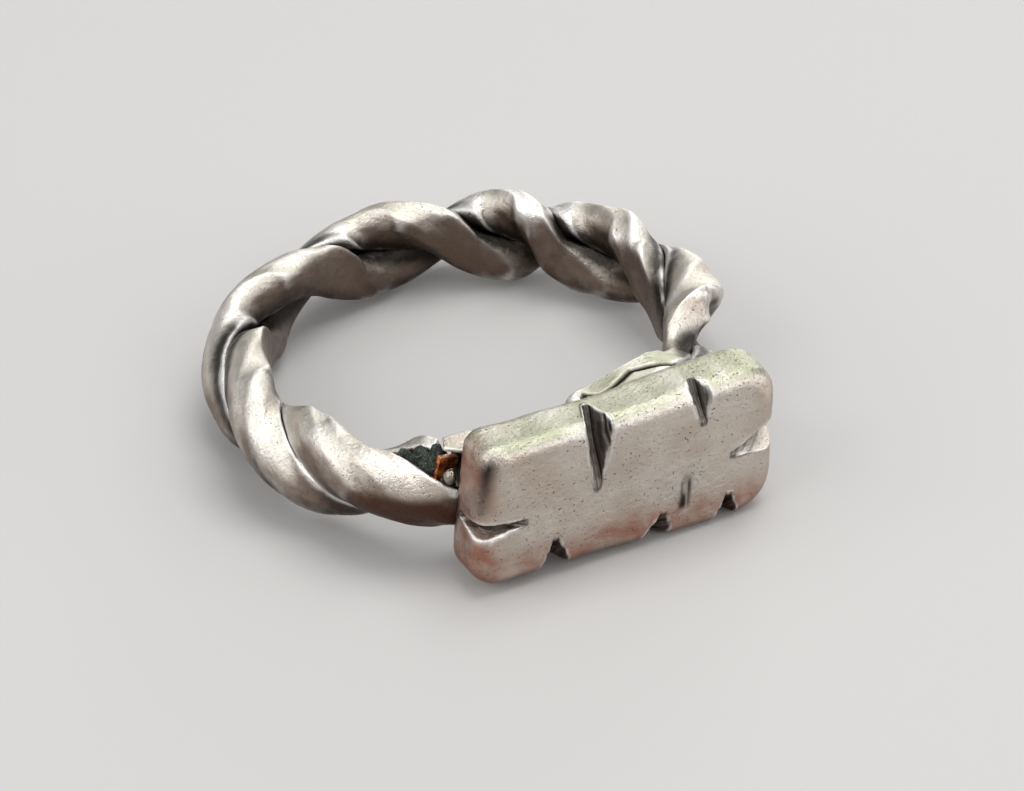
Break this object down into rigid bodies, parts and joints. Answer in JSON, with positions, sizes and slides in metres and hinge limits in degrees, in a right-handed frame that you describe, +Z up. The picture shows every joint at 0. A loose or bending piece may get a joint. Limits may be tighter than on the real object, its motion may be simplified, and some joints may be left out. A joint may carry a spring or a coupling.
{
  "type": "twisted signet ring",
  "caption": "Hand-made silver finger ring: a twisted strand band closed by a solid bar with filed notches.",
  "frame": {"origin": "centre of the bounding box in X and Y, on the surface that the ring lies on", "axes": "+Z is up, along the finger hole, as the ring lies on its side; -Y is towards the face of the bar; +X is to the right of somebody facing the bar"},
  "size_m": [0.0241, 0.0241, 0.0074],
  "materials": {
    "bar_silver": "worn satin, finely pitted, oxide in the notches",
    "band_silver": "hammered, brown tarnish in the grooves",
    "plate_silver": "worn satin",
    "copper": "bright torn copper",
    "dark_filler": "rough, glittering",
    "solder": "melted, dull"
  },
  "bodies": {
    "root": {"bezel_bar": "bar_silver", "twist_strand_a": "band_silver", "twist_strand_b": "band_silver", "backing_plate": "plate_silver", "copper_shim": "copper", "left_filler": "dark_filler", "solder_bead": "solder", "right_solder": "solder"}
  },
  "joints": []
}
